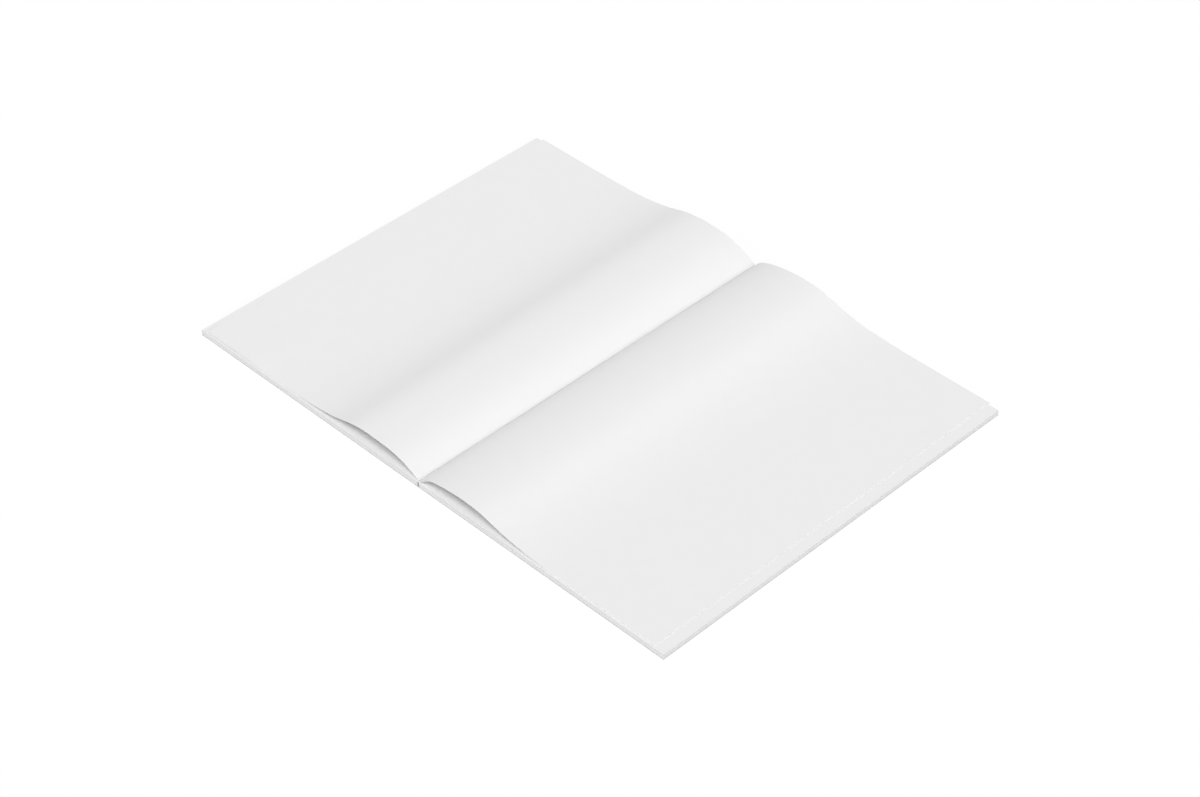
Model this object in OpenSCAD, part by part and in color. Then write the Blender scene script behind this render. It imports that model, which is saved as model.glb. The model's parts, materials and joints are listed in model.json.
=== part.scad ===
// Softcover notebook lying open in the middle, tail end towards -Y.
// Origin: middle of the spine's length, on the surface it lies on.
// X runs across both pages, Y along the spine towards the head, Z up.

/* [Pages] */
// Length of the notebook along its spine
spine_len = 210; // [120:1:320]
// Width of the page stack, from the binding to the fore-edge
page_w = 143.8; // [143.8:0.1:220]
// Thickness of the page stack on each side
stack_t = 2.4; // [1:0.1:15]

/* [Cover] */
// Thickness of the cover card
card_t = 0.4; // [0.25:0.05:1]
// Gap between the two halves of the spine, which stand folded back to back
slot_w = 0.3; // [0.2:0.05:2]

/* [Open leaves] */
// Thickness of the paper of an open leaf
leaf_t = 0.2; // [0.1:0.05:0.4]
// Width of an open leaf, measured along its curve
leaf_w = 141.5; // [135:0.1:143.8]
// How far the open leaves sit towards the head of the stack
leaf_shift = 1.1; // [0:0.1:3]
// Height of the arch over the stack at the tail end
tail_rise = 6.7; // [3:0.1:9]
// Height of the arch over the stack at the head end
head_rise = 8; // [3:0.1:9]
// Distance from the crest to where a leaf lies flat, at the tail end
tail_run = 60; // [40:1:75]
// Distance from the crest to where a leaf lies flat, at the head end
head_run = 68; // [40:1:75]

/* [Left leaf] */
// Distance from the binding to the crest of the arch
left_crest = 31; // [18:0.5:40]
// How far the leaf leans out as it leaves the binding
left_lean = 8; // [0:0.1:10]
// How steeply the leaf climbs as it leaves the binding
left_climb = 3.3; // [1:0.1:5]
// Length of the curve before the crest
left_round = 20; // [5:0.5:21]

/* [Right leaf] */
// Distance from the binding to the crest of the arch
right_crest = 27; // [18:0.5:40]
// How far the leaf leans out as it leaves the binding
right_lean = 0.2; // [0:0.1:10]
// How steeply the leaf climbs as it leaves the binding
right_climb = 4.2; // [1:0.1:5]
// Length of the curve before the crest
right_round = 12.5; // [5:0.5:21]

/* [Hidden] */
// Half of the gap in the folded spine
spine_x = slot_w / 2;
// Where the pages and leaves start, against the inside of the spine
bind_x = spine_x + card_t;
// Top of the page stacks
top_z = card_t + stack_t;
// How far a flat stretch of the arch reaches from its crest and from its foot, as shares of the run
crest_ease = 0.34;
foot_ease = 0.76;
// Points along each of the two curves of an arch
steps = 16;
paper = [0.93, 0.93, 0.93];
card = [0.89, 0.89, 0.89];

// A point on a cubic curve, and the direction of the curve there
function on_curve(c, u) =
    pow(1 - u, 3) * c[0] + 3 * u * pow(1 - u, 2) * c[1] + 3 * u * u * (1 - u) * c[2] + pow(u, 3) * c[3];
function along_curve(c, u) =
    pow(1 - u, 2) * (c[1] - c[0]) + 2 * u * (1 - u) * (c[2] - c[1]) + u * u * (c[3] - c[2]);

// The two curves of an arch: up from the binding to the crest, and down to the stack
function climb_curve(crest, lean, climb, ease, rise) =
    [[0, 0], [lean, climb], [crest - ease, rise], [crest, rise]];
function fall_curve(crest, rise, run) =
    [[crest, rise], [crest + crest_ease * run, rise], [crest + (1 - foot_ease) * run, 0], [crest + run, 0]];

// Places on the underside of a leaf, each with the direction in which the paper is thick
function place(p, d) = [p[0], p[1], -d[1] / norm(d), d[0] / norm(d)];
function arch_places(up, down) = [
    for (i = [0:steps]) place(on_curve(up, i / steps), along_curve(up, i / steps)),
    for (i = [1:steps]) place(on_curve(down, i / steps), along_curve(down, i / steps))
];

// How much longer the paper is than the ground that its arch covers
function slack(s, i = 1) =
    i < len(s) ? norm([s[i][0] - s[i - 1][0], s[i][1] - s[i - 1][1]]) - (s[i][0] - s[i - 1][0]) + slack(s, i + 1) : 0;
function leaf_places(arch) = concat(arch, [[leaf_w - slack(arch), 0, 0, 1]]);

// Corners of a leaf's end, first along the underside and then along the upper side
function end_corners(places, y) = concat(
    [for (p = places) [bind_x + p[0], y, top_z + p[1]]],
    [for (p = places) [bind_x + p[0] + leaf_t * p[2], y, top_z + p[1] + leaf_t * p[3]]]
);

// A leaf bound at x = 0 that arches towards +X, a little higher at the head than at the tail
module arched_leaf(crest, lean, climb, ease) {
    tail = leaf_places(arch_places(
        climb_curve(crest, lean, climb * tail_rise / head_rise, ease, tail_rise),
        fall_curve(crest, tail_rise, tail_run)));
    head = leaf_places(arch_places(
        climb_curve(crest, lean, climb, ease, head_rise),
        fall_curve(crest, head_rise, head_run)));
    n = len(tail);
    last = n - 1;
    corners = concat(
        end_corners(tail, leaf_shift - spine_len / 2),
        end_corners(head, leaf_shift + spine_len / 2));
    // Four corners in order, as two triangles
    function face(a, b, c, d) = [[a, b, c], [a, c, d]];
    faces = concat(
        [for (i = [0:last - 1], t = face(i, i + 2 * n, i + 1 + 2 * n, i + 1)) t],
        [for (i = [0:last - 1], t = face(i + n, i + 1 + n, i + 1 + 3 * n, i + 3 * n)) t],
        [for (i = [0:last - 1], t = face(i, i + 1, i + 1 + n, i + n)) t],
        [for (i = [0:last - 1], t = face(i + 2 * n, i + 3 * n, i + 1 + 3 * n, i + 1 + 2 * n)) t],
        face(0, n, 3 * n, 2 * n),
        face(last, last + 2 * n, last + 3 * n, last + n));
    polyhedron(corners, faces, convexity = 4);
}

// Half of the cover: one side panel and its half of the spine, turned up along the binding
module cover_half() {
    translate([spine_x, -spine_len / 2, 0]) cube([card_t + page_w, spine_len, card_t]);
    translate([spine_x, -spine_len / 2, 0]) cube([card_t, spine_len, top_z]);
}

// Pages of one side, trimmed flush with the cover
module page_stack() {
    translate([bind_x, -spine_len / 2, card_t]) cube([page_w, spine_len, stack_t]);
}

module front_cover() { color(card) mirror([1, 0, 0]) cover_half(); }
module back_cover() { color(card) cover_half(); }
module left_pages() { color(paper) mirror([1, 0, 0]) page_stack(); }
module right_pages() { color(paper) page_stack(); }
module left_leaf() {
    color(paper) mirror([1, 0, 0]) arched_leaf(left_crest, left_lean, left_climb, left_round);
}
module right_leaf() { color(paper) arched_leaf(right_crest, right_lean, right_climb, right_round); }

front_cover();
back_cover();
left_pages();
right_pages();
left_leaf();
right_leaf();
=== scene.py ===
import json
import math
import random

import bpy
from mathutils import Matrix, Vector


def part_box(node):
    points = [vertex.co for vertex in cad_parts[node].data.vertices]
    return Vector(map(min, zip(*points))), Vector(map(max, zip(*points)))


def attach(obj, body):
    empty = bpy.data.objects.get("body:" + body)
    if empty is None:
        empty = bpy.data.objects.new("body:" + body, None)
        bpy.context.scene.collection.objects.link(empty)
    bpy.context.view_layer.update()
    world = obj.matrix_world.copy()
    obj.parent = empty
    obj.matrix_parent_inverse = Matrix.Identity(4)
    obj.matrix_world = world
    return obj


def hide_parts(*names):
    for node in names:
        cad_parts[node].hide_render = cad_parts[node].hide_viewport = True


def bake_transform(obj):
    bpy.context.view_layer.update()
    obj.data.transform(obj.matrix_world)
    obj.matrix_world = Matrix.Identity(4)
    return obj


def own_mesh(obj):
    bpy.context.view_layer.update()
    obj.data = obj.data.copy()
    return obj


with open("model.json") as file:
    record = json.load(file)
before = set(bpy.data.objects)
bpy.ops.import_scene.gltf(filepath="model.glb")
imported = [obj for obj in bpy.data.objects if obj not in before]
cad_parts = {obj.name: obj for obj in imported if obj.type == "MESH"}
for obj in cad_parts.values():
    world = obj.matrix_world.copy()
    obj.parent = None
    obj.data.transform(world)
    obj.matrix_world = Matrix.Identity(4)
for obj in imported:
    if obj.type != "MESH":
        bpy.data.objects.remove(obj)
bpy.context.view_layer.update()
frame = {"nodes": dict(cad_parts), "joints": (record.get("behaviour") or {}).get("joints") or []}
mm = 0.001
print("frame loaded:", ", ".join(sorted(frame["nodes"])))


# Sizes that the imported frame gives
pagesLow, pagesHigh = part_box("right_pages")
coverLow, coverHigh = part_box("back_cover")
book = {
    "tail": pagesLow.y,
    "head": pagesHigh.y,
    "foreEdge": pagesHigh.x,
    "bindX": pagesLow.x,  # inside of the spine, where the pages are bound
    "cardTop": pagesLow.z,
    "stackTop": pagesHigh.z,
    "slotX": coverLow.x,  # half of the gap in the folded spine
    "hingeZ": frame["joints"][0]["pos_m"][2],
}
book["length"] = book["head"] - book["tail"]


def linearColour(hexText):
    # sRGB hex to the linear values that Blender works in
    parts = [int(hexText[i:i + 2], 16) / 255 for i in (1, 3, 5)]
    parts = [c / 12.92 if c <= 0.04045 else ((c + 0.055) / 1.055) ** 2.4 for c in parts]
    return (*parts, 1.0)


def addNode(tree, kind, settings=None, links=None):
    # settings are sockets by name or number, or else properties; links are sockets of other nodes
    node = tree.nodes.new(kind)
    for name, value in (settings or {}).items():
        if isinstance(name, int) or name in node.inputs:
            node.inputs[name].default_value = value
        else:
            setattr(node, name, value)
    for name, source in (links or {}).items():
        tree.links.new(source, node.inputs[name])
    return node


def startMaterial(name):
    material = bpy.data.materials.new(name)
    material.use_nodes = True
    material.node_tree.nodes.clear()
    return material, material.node_tree


def endMaterial(tree, shader):
    addNode(tree, "ShaderNodeOutputMaterial", links={"Surface": shader.outputs[0]})


def makeMesh(name, points, faces, material, rounded=False):
    mesh = bpy.data.meshes.new(name)
    mesh.from_pydata([tuple(p) for p in points], [], faces)
    mesh.validate()
    mesh.materials.append(material)
    if rounded:
        mesh.shade_smooth()
    else:
        mesh.shade_flat()
    piece = bpy.data.objects.new(name, mesh)
    bpy.context.scene.collection.objects.link(piece)
    return piece


# How uneven the noise in paper and card is: detail is how many finer layers it has
formation = {
    "cloudDetail": 3.0,
    "cloudRoughness": 0.5,
    "fibreDetail": 2.0,
    "fibreRoughness": 0.6,
    "cutLineDetail": 2.0,
}

# Uncoated woodfree offset paper, about 120 g/m2, calendered but not coated: fully matt and near
# white, with the faint clouds of its formation and a fine tooth of fibres.
paperFinish = {
    "colour": "#EDEDED",
    "cloud": "#EBEBEB",  # where fibres lie denser
    "cloudSize": 7.0 * mm,
    "fibreSize": 0.45 * mm,  # real fibres are 0.03 mm wide: drawn coarser, or they would not show
    "toothHeight": 0.006 * mm,
    "roughness": 0.88,
    "ior": 1.53,  # cellulose
    "specular": 0.2,
}


def uncoatedOffsetPaper(name, finish):
    material, tree = startMaterial(name)
    place = addNode(tree, "ShaderNodeTexCoord")
    clouds = addNode(tree, "ShaderNodeTexNoise",
                     {"Scale": 1 / finish["cloudSize"], "Detail": formation["cloudDetail"],
                      "Roughness": formation["cloudRoughness"]},
                     {"Vector": place.outputs["Object"]})
    tint = addNode(tree, "ShaderNodeMix",
                   {"data_type": "RGBA", 6: linearColour(finish["colour"]),
                    7: linearColour(finish["cloud"])},
                   {0: clouds.outputs["Fac"]})
    fibres = addNode(tree, "ShaderNodeTexNoise",
                     {"Scale": 1 / finish["fibreSize"], "Detail": formation["fibreDetail"],
                      "Roughness": formation["fibreRoughness"]},
                     {"Vector": place.outputs["Object"]})
    tooth = addNode(tree, "ShaderNodeBump",
                    {"Strength": 1.0, "Distance": finish["toothHeight"]},
                    {"Height": fibres.outputs["Fac"]})
    shader = addNode(tree, "ShaderNodeBsdfPrincipled",
                     {"Roughness": finish["roughness"], "IOR": finish["ior"],
                      "Specular IOR Level": finish["specular"]},
                     {"Base Color": tint.outputs[2], "Normal": tooth.outputs["Normal"]})
    endMaterial(tree, shader)
    return material


# Guillotined edge of the page stack: the same paper cut across, which gives the eye fine long lines.
edgeFinish = {
    "colour": "#F3F3F3",
    "shade": "#EDEDED",  # between two leaves
    "linePitch": 0.15 * mm,
    "lineLength": 40.0 * mm,
    "roughness": 0.92,
    "ior": 1.53,
    "specular": 0.15,
}


def guillotinedPaperEdge(name, finish):
    material, tree = startMaterial(name)
    place = addNode(tree, "ShaderNodeTexCoord")
    perLength, perPitch = 1 / finish["lineLength"], 1 / finish["linePitch"]
    stretch = addNode(tree, "ShaderNodeMapping", {"Scale": (perLength, perLength, perPitch)},
                      {"Vector": place.outputs["Object"]})
    lines = addNode(tree, "ShaderNodeTexNoise", {"Scale": 1.0, "Detail": formation["cutLineDetail"]},
                    {"Vector": stretch.outputs["Vector"]})
    tint = addNode(tree, "ShaderNodeMix",
                   {"data_type": "RGBA", 6: linearColour(finish["colour"]),
                    7: linearColour(finish["shade"])},
                   {0: lines.outputs["Fac"]})
    shader = addNode(tree, "ShaderNodeBsdfPrincipled",
                     {"Roughness": finish["roughness"], "IOR": finish["ior"],
                      "Specular IOR Level": finish["specular"]},
                     {"Base Color": tint.outputs[2]})
    endMaterial(tree, shader)
    return material


# Uncoated cover card, about 300 g/m2: a touch greyer than the pages, with a firmer, smoother face.
cardFinish = {
    "colour": "#E4E4E4",
    "cloud": "#E0E0E0",
    "cloudSize": 4.0 * mm,
    "fibreSize": 0.6 * mm,  # drawn coarser than the real fibres, or they would not show
    "toothHeight": 0.01 * mm,
    "roughness": 0.75,
    "ior": 1.53,
    "specular": 0.3,
}

# The card cut through: its grey core, drawn much darker with painted shade for the contact shade along
# the table, shows as one dark line under the pages.
cardEdgeGreyAndPaintedShade = {
    "colour": "#AFAFAF",
    "shade": "#A5A5A5",
    "linePitch": 0.2 * mm,
    "lineLength": 30.0 * mm,
    "roughness": 0.85,
    "ior": 1.53,
    "specular": 0.2,
}

paper = uncoatedOffsetPaper("uncoatedOffsetPaper", paperFinish)
paperEdge = guillotinedPaperEdge("guillotinedPaperEdge", edgeFinish)
card = uncoatedOffsetPaper("uncoatedCoverCard", cardFinish)
# the card's cut edges: the card's own grey, darkened further with painted contact shade
cardEdgeWithPaintedShade = guillotinedPaperEdge("cutCardEdgeWithPaintedShade", cardEdgeGreyAndPaintedShade)
print("materials made")


# Page stacks, whose cut edges stand as fine ridges
stackShape = {
    "leafCount": 16,  # a real stack has about 24: drawn fewer, or the ridges would not show
    "groove": 0.008 * mm,  # depth between two cut edges
    "unevenness": 0.01 * mm,  # how far a leaf may stand back from the longest one
    "seed": 11,
}


def buildStack(name, side, shape):
    dice = random.Random(shape["seed"] + side)
    leafCount, groove = shape["leafCount"], shape["groove"]
    pitch = (book["stackTop"] - book["cardTop"]) / leafCount
    points, faces = [], []

    def addRing(z, back):
        # back is how far the fore-edge, tail and head stand back from the full size
        xIn, xOut = book["bindX"], book["foreEdge"] - back[0]
        yLow, yHigh = book["tail"] + back[1], book["head"] - back[2]
        points.extend([(side * xIn, yLow, z), (side * xOut, yLow, z),
                       (side * xOut, yHigh, z), (side * xIn, yHigh, z)])

    for leaf in range(leafCount):
        lowest, highest = leaf == 0, leaf == leafCount - 1
        back = [0.0 if lowest or highest else dice.uniform(0, shape["unevenness"]) for _ in range(3)]
        pressed = [b + groove for b in back]
        low = book["cardTop"] + leaf * pitch
        addRing(low, back if lowest else pressed)
        addRing(low + pitch / 2, back)
        if highest:
            addRing(low + pitch, back)
    rings = len(points) // 4
    for ring in range(rings - 1):
        for corner in range(4):
            a, b = 4 * ring + corner, 4 * ring + (corner + 1) % 4
            faces.append((a, b, b + 4, a + 4) if side > 0 else (a, a + 4, b + 4, b))
    top = 4 * (rings - 1)
    faces.append((3, 2, 1, 0) if side > 0 else (0, 1, 2, 3))
    faces.append((top, top + 1, top + 2, top + 3) if side > 0 else (top + 3, top + 2, top + 1, top))
    piece = makeMesh(name, points, faces, paperEdge)
    piece.data.materials.append(paper)
    for face in piece.data.polygons[-2:]:
        face.material_index = 1
    return piece


for side, name, body, node in ((-1, "left_page_stack", "front_half", "left_pages"),
                               (1, "right_page_stack", "back_half", "right_pages")):
    stack = buildStack(name, side, stackShape)
    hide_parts(node)
    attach(stack, body)
print("page stacks built")


# Open leaves
# One sheet a side climbs out of the binding, arches over and lies down on the stack. The curve follows
# the solid's in finer steps, with sizes of its own at the tail and at the head.
leafShape = {
    "thickness": 0.12 * mm,
    "archThickness": 0.1 * mm,  # the sheet is drawn thinner where it stands free
    "footEase": 0.76,  # how softly the curve meets the stack, as a share of the run
    "stepsAlong": 48,  # on each of the two curves
    "stepsFlat": 30,
    "rows": 60,  # along the spine
    "edgeSteps": 5,  # extra steps where an edge is pressed down by the guillotine
    "edgeRoll": 0.5 * mm,  # how far in from an edge it is pressed down
    "rollMargin": 1.3,  # where the even steps end, in widths of the roll
    "edgeLeft": 0.12,  # share of the thickness that is left at a pressed edge
    "tailUndercut": 0.25 * mm,  # the cut at the tail slants back under the sheet
    "clearance": 0.01 * mm,  # over the stack
    "thickensFrom": 50.0 * mm,  # from the arch's thickness to that of the flat sheet
    "thickensTo": 80.0 * mm,
    "flushWidth": 7.0 * mm,  # of the root that reaches out to the end of the stack
    "flushReach": 10.0 * mm,
    "fillPower": 3,  # how quickly the filled root takes up the curve
    "liftFrom": 98.0 * mm,  # the lifted corner, across the page and along the spine
    "liftFull": 112.0 * mm,
    "liftReach": 35.0 * mm,
    "sharpAngle": 50.0,  # edges bent more than this stay sharp
    "keptHeight": 0.03,
}
leftLeaf = {
    "tailShift": 0.87 * mm,  # how far each end sits towards the head, off the stack's own end
    "headShift": 1.1 * mm,
    "tailWidth": 142.7 * mm,  # along the curve
    "headWidth": 142.7 * mm,
    "tailRise": 6.75 * mm,  # of the crest over the stack
    "headRise": 8.0 * mm,
    "tailRun": 60.0 * mm,  # from the crest to where it lies flat
    "headRun": 68.0 * mm,
    "tailEase": 0.34,  # how long the crest holds level, as a share of the run
    "headEase": 0.34,
    "crest": 31.0 * mm,  # from the binding
    "tailLean": 8.0 * mm,  # lean and climb give the way in which the leaf sets out from the binding
    "headLean": 8.0 * mm,
    "tailClimb": 3.4 * mm,
    "headClimb": 3.3 * mm,
    "tailRound": 22.0 * mm,  # how far before the crest it starts to round over
    "headRound": 20.0 * mm,
    "tailPressed": 0.0,  # how much of the edge roll the tail edge and the fore-edge have
    "foreEdgePressed": 0.0,
    "flatUndercut": 1.0,  # share of the undercut where the leaf lies flat
    "rootFill": 0.0,
    "rootFlush": 0.0,
    "cornerLift": 0.36 * mm,  # the outer corner at the tail stands off the stack
}
rightLeaf = {
    "tailShift": 0.95 * mm,
    "headShift": 1.1 * mm,
    "tailWidth": 140.6 * mm,
    "headWidth": 141.15 * mm,
    "tailRise": 6.5 * mm,
    "headRise": 7.95 * mm,
    "tailRun": 60.0 * mm,
    "headRun": 68.0 * mm,
    "tailEase": 0.34,
    "headEase": 0.375,
    "crest": 27.0 * mm,
    "tailLean": 0.0,
    "headLean": 0.2 * mm,
    "tailClimb": 3.8 * mm,
    "headClimb": 4.2 * mm,
    "tailRound": 12.5 * mm,
    "headRound": 12.5 * mm,
    "tailPressed": 0.3,
    "foreEdgePressed": 0.8,
    "flatUndercut": 0.0,
    "rootFill": 9.0 * mm,  # the root is glued to its neighbours up to here
    "rootFlush": 0.7,  # how far the glued root reaches out to the end of the stack
    "cornerLift": 0.0,
}


def smooth(value, start, end):
    # 0 before start, 1 after end, with an eased rise between them
    if end <= start:
        return 1.0 if value >= end else 0.0
    t = min(1.0, max(0.0, (value - start) / (end - start)))
    return t * t * (3 - 2 * t)


def onCurve(c, u):
    # smooth curve from the first point to the last, pulled towards the two between them
    left = 1 - u
    return left ** 3 * c[0] + 3 * u * left ** 2 * c[1] + 3 * u * u * left * c[2] + u ** 3 * c[3]


def evenWithEdge(length, steps):
    # places from 0 to length, with finer ones over the roll at the end
    roll, edgeSteps = leafShape["edgeRoll"], leafShape["edgeSteps"]
    coarse = [(length - leafShape["rollMargin"] * roll) * i / steps for i in range(steps + 1)]
    return coarse + [length - roll + roll * i / edgeSteps for i in range(edgeSteps + 1)]


def leafLine(own, share):
    # points on the underside across the page, at one place along the spine
    # share is 0 at the tail and 1 at the head
    rise, run, ease, width, lean, climb, rounding = (
        own["tail" + part] + share * (own["head" + part] - own["tail" + part])
        for part in ("Rise", "Run", "Ease", "Width", "Lean", "Climb", "Round"))
    crest = own["crest"]
    up = [Vector((0, 0)), Vector((lean, climb)), Vector((crest - rounding, rise)), Vector((crest, rise))]
    down = [Vector((crest, rise)), Vector((crest + ease * run, rise)),
            Vector((crest + (1 - leafShape["footEase"]) * run, 0)), Vector((crest + run, 0))]
    n = leafShape["stepsAlong"]
    line = [onCurve(up, i / n) for i in range(n + 1)] + [onCurve(down, i / n) for i in range(1, n + 1)]
    # the arch takes up paper, which draws the fore-edge in
    slack = sum((b - a).length - (b.x - a.x) for a, b in zip(line, line[1:]))
    foot, foreEdge = line[-1].x, width - slack
    flat = evenWithEdge(foreEdge - foot, leafShape["stepsFlat"])
    return line + [Vector((foot + x, 0)) for x in flat[1:]]


def pressedShare(distance):
    # 1 inside the leaf, falling evenly to what is left of the thickness at a pressed edge
    t = min(1.0, distance / leafShape["edgeRoll"])
    return leafShape["edgeLeft"] + (1 - leafShape["edgeLeft"]) * t


def buildLeaf(name, side, own):
    rows = []
    for fromHead in reversed(evenWithEdge(book["length"], leafShape["rows"])):
        fromTail = book["length"] - fromHead
        along = fromTail / book["length"]
        y = book["tail"] + fromTail + own["tailShift"] + (own["headShift"] - own["tailShift"]) * along
        reach = own["rootFlush"] * own["tailShift"] * (1 - smooth(fromTail, 0, leafShape["flushReach"]))
        line = leafLine(own, along)
        under, over = [], []
        for i, p in enumerate(line):
            ahead, behind = line[min(i + 1, len(line) - 1)], line[max(i - 1, 0)]
            run = (ahead - behind).normalized()
            normal = Vector((-run.y, run.x))
            lift = (own["cornerLift"] * smooth(p.x, leafShape["liftFrom"], leafShape["liftFull"])
                    * (1 - smooth(fromTail, 0, leafShape["liftReach"])))
            flatShare = smooth(p.x, leafShape["thickensFrom"], leafShape["thickensTo"])
            thick = leafShape["archThickness"]
            thick += flatShare * (leafShape["thickness"] - leafShape["archThickness"])
            pressed = max(flatShare * own["tailPressed"] * (1 - pressedShare(fromTail)),
                          own["foreEdgePressed"] * (1 - pressedShare(line[-1].x - p.x)))
            fill = 1.0
            if own["rootFill"]:
                fill -= max(0.0, 1 - p.x / own["rootFill"]) ** leafShape["fillPower"]
            yHere = y - reach * (1 - smooth(p.x, 0, leafShape["flushWidth"]))
            undercut = leafShape["tailUndercut"] * (1 - flatShare * (1 - own["flatUndercut"]))
            setBack = undercut * max(0.0, 1 - fromTail / leafShape["edgeRoll"])
            q = Vector((p.x, p.y + leafShape["clearance"] + lift))
            under.append((side * (book["bindX"] + q.x), yHere + setBack, book["stackTop"] + q.y * fill))
            q = q + normal * thick * (1 - pressed)
            over.append((side * (book["bindX"] + q.x), yHere, book["stackTop"] + q.y))
        rows.append(under + over)
    width = len(rows[0]) // 2
    points = [p for row in rows for p in row]
    faces = []

    def quad(a, b, c, d):
        faces.append((a, b, c, d) if side > 0 else (d, c, b, a))

    for r in range(len(rows) - 1):
        here, there = r * 2 * width, (r + 1) * 2 * width
        for i in range(width - 1):
            quad(here + i, there + i, there + i + 1, here + i + 1)
            quad(here + width + i, here + width + i + 1, there + width + i + 1, there + width + i)
        quad(here, here + width, there + width, there)
        quad(here + width - 1, there + width - 1, there + 2 * width - 1, here + 2 * width - 1)
    last = (len(rows) - 1) * 2 * width
    for i in range(width - 1):
        quad(i, i + 1, width + i + 1, width + i)
        quad(last + i, last + width + i, last + width + i + 1, last + i + 1)
    piece = makeMesh(name, points, faces, paper, rounded=True)
    piece.data.set_sharp_from_angle(angle=math.radians(leafShape["sharpAngle"]))
    return piece


for side, name, body, node, own in ((-1, "left_open_leaf", "front_half", "left_leaf", leftLeaf),
                                    (1, "right_open_leaf", "back_half", "right_leaf", rightLeaf)):
    leaf = buildLeaf(name, side, own)
    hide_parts(node)
    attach(leaf, body)
    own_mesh(leaf)
print("open leaves built")


# Cover: one sheet of card, scored along the spine and folded up between the two stacks
coverShape = {
    "footRadius": 0.25 * mm,  # outside of the fold at the foot of the spine
    "creaseTop": 0.15 * mm,  # how far the crease stands over the stacks
    "creaseCard": 0.2 * mm,  # the card is pressed thinner in the crease
    "arcSteps": 8,
    "undercut": 0.16 * mm,  # the lower arris is rubbed off, so the card stands on a fine dark line
    "scoreAt": 6.0 * mm,  # hinge score on the outside, from the spine
    "scoreWidth": 0.8 * mm,
    "scoreDepth": 0.07 * mm,
    "cutFacing": 0.5,  # a face beyond the spine that looks sideways more than this is a cut edge
}


def arcPoints(cx, cz, radius, start, end, steps):
    turn = [math.radians(start + (end - start) * i / steps) for i in range(steps + 1)]
    return [(cx + radius * math.cos(a), cz + radius * math.sin(a)) for a in turn]


def buildCover(name, shape):
    slot, bind, top = book["slotX"], book["bindX"], book["stackTop"]
    foot, steps = shape["footRadius"], shape["arcSteps"]
    crest = top + shape["creaseTop"]
    score, scoreHalf = shape["scoreAt"], shape["scoreWidth"] / 2
    # right half of the profile: from the roof of the slot down, out to the fore-edge and back over
    half = arcPoints(0, crest - shape["creaseCard"] - slot, slot, 90, 0, steps)
    half += arcPoints(slot + foot, foot, foot, 180, 270, steps)
    half += [(score - scoreHalf, 0), (score, shape["scoreDepth"]), (score + scoreHalf, 0)]
    undercut = shape["undercut"]
    half += [(book["foreEdge"] - undercut, 0), (book["foreEdge"], undercut),
             (book["foreEdge"], book["cardTop"]), (bind, book["cardTop"]), (bind, top)]
    half += [(bind - (bind - slot) * i / steps, top + (crest - top) * smooth(i, 0, steps))
             for i in range(1, steps + 1)]
    half += [(slot * (1 - i / steps), crest) for i in range(1, steps + 1)]
    loop = half + [(-x, z) for x, z in reversed(half[1:-1])]
    count = len(loop)
    ends = ((book["tail"], undercut), (book["tail"] + undercut, 0), (book["head"] - undercut, 0),
            (book["head"], undercut))
    points = [(x, y, max(z, raised)) for y, raised in ends for x, z in loop]
    faces = []
    for ring in range(len(ends) - 1):
        faces += [(ring * count + i, ring * count + (i + 1) % count,
                   (ring + 1) * count + (i + 1) % count, (ring + 1) * count + i) for i in range(count)]
    last = (len(ends) - 1) * count
    faces += [tuple(range(count - 1, -1, -1)), tuple(range(last, last + count))]
    piece = makeMesh(name, points, faces, card)
    # cut edges take the card edge colour, with its painted contact shade
    piece.data.materials.append(cardEdgeWithPaintedShade)
    for face in piece.data.polygons[-2:]:
        face.material_index = 1
    for face in piece.data.polygons:
        sideways = max(abs(face.normal.x), abs(face.normal.y))
        if sideways > shape["cutFacing"] and abs(face.center.x) > bind:
            face.material_index = 1
    return piece


cover = buildCover("cover_sheet", coverShape)
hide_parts("front_cover", "back_cover")
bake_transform(cover)
print("cover built")


# Floor and light
# The table is matt and pale, and the camera sees it white with a trace of the shadow. Room and lamps
# together light a level surface with about pi, at which a colour renders about as it is written.
stage = {
    "floorSize": 8.0,  # m
    "floorColour": "#D0D0D0",  # for the light that it throws back
    "floorSeen": "#FFFFFF",
    "floorGlow": 0.85,  # share of plain white that the camera sees in it
    "skyColour": "#FFFFFF",
    "skyStrength": 0.408,
}
# side is degrees from the tail end towards the right, height degrees over the table
lamps = {
    "frontLight": {"irradiance": 0.458 * math.pi, "side": 12.0, "height": 64.0, "spread": 36.0},
    "sideLight": {"irradiance": 0.337 * math.pi, "side": 65.0, "height": 32.0, "spread": 30.0},
}


def seenDirectly(tree):
    # 1 for what the camera sees, also by way of a gloss, and 0 for light that falls on the notebook
    path = addNode(tree, "ShaderNodeLightPath")
    either = addNode(tree, "ShaderNodeMath", {"operation": "MAXIMUM"},
                     {0: path.outputs["Is Camera Ray"], 1: path.outputs["Is Glossy Ray"]})
    return addNode(tree, "ShaderNodeMath", {"operation": "MAXIMUM"},
                   {0: either.outputs[0], 1: path.outputs["Is Transmission Ray"]})


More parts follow.
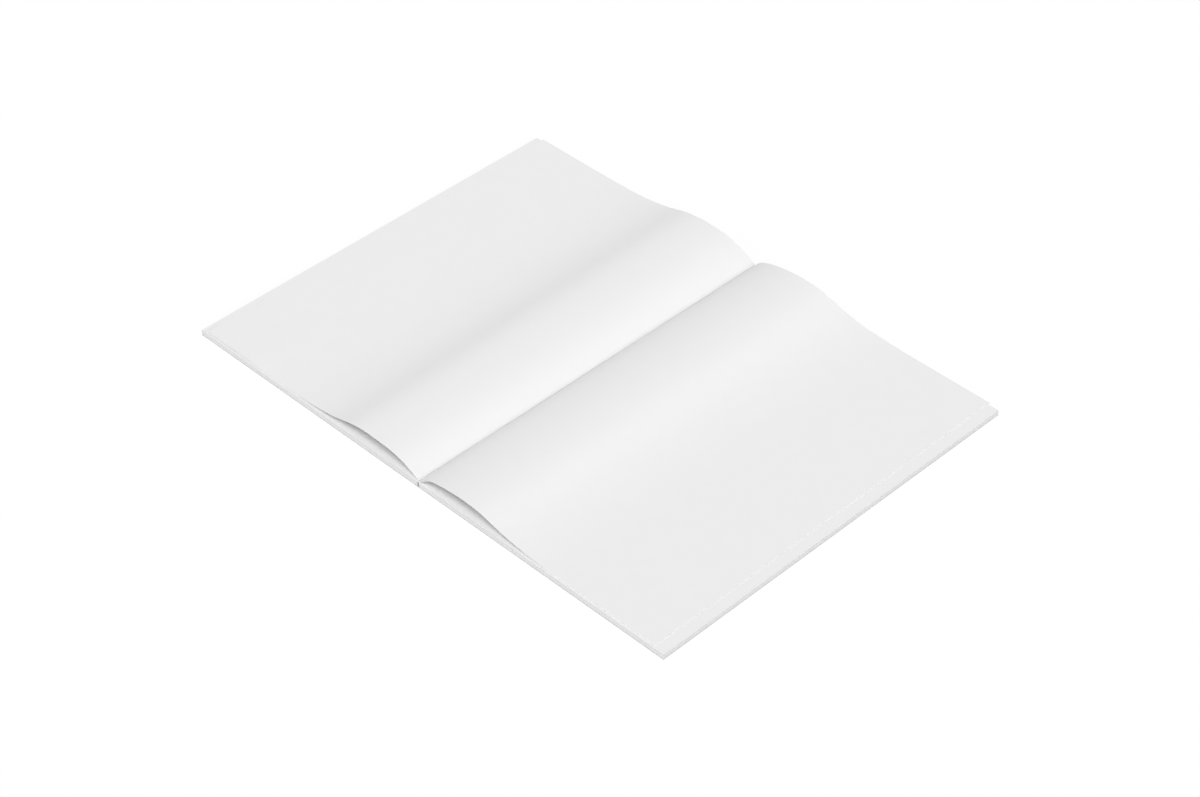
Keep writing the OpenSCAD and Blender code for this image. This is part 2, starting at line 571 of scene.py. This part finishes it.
def buildFloor():
    material, tree = startMaterial("mattTableTop")
    shown = seenDirectly(tree)
    share = addNode(tree, "ShaderNodeMath", {"operation": "MULTIPLY", 1: stage["floorGlow"]},
                    {0: shown.outputs[0]})
    tint = addNode(tree, "ShaderNodeMix",
                   {"data_type": "RGBA", 6: linearColour(stage["floorColour"]),
                    7: linearColour(stage["floorSeen"])},
                   {0: shown.outputs[0]})
    matt = addNode(tree, "ShaderNodeBsdfDiffuse", links={"Color": tint.outputs[2]})
    white = addNode(tree, "ShaderNodeEmission", {"Strength": 1.0})
    mixed = addNode(tree, "ShaderNodeMixShader", links={
        0: share.outputs[0], 1: matt.outputs[0], 2: white.outputs[0]})
    endMaterial(tree, mixed)
    s = stage["floorSize"] / 2
    corners = [(-s, -s, 0), (s, -s, 0), (s, s, 0), (-s, s, 0)]
    floor = makeMesh("floor", corners, [(0, 1, 2, 3)], material)


def lightRoom():
    world = bpy.data.worlds.new("paleRoom")
    world.use_nodes = True
    world.node_tree.nodes.clear()
    shown = seenDirectly(world.node_tree)
    strength = addNode(world.node_tree, "ShaderNodeMix", {2: stage["skyStrength"], 3: 1.0},
                       {0: shown.outputs[0]})
    sky = addNode(world.node_tree, "ShaderNodeBackground", {"Color": linearColour(stage["skyColour"])},
                  {"Strength": strength.outputs[0]})
    addNode(world.node_tree, "ShaderNodeOutputWorld", links={"Surface": sky.outputs[0]})
    bpy.context.scene.world = world
    for name, settings in lamps.items():
        side, height = math.radians(settings["side"]), math.radians(settings["height"])
        level = math.cos(height)
        towards = Vector((level * math.sin(side), -level * math.cos(side), math.sin(height)))
        light = bpy.data.lights.new(name, "SUN")
        light.energy = settings["irradiance"]
        light.angle = math.radians(settings["spread"])
        lamp = bpy.data.objects.new(name, light)
        lamp.rotation_euler = towards.to_track_quat("Z", "Y").to_euler()
        bpy.context.scene.collection.objects.link(lamp)


buildFloor()
lightRoom()


# Camera: a fit to the straight edges of the notebook in the photograph
view = {
    "lens": 87.96,  # mm
    "sensor": 36.0,
    "place": (0.70463, -0.70213, 0.83601),  # m
    "pitchDown": 40.514,  # degrees
    "azimuth": 44.940,
}
cameraData = bpy.data.cameras.new("camera")
cameraData.lens = view["lens"]
cameraData.sensor_width = view["sensor"]
camera = bpy.data.objects.new("camera", cameraData)
camera.location = view["place"]
camera.rotation_euler = (math.radians(90 - view["pitchDown"]), 0, math.radians(view["azimuth"]))
bpy.context.scene.collection.objects.link(camera)
bpy.context.scene.camera = camera
bpy.context.scene.view_settings.view_transform = "Standard"
print("floor, light and camera set")
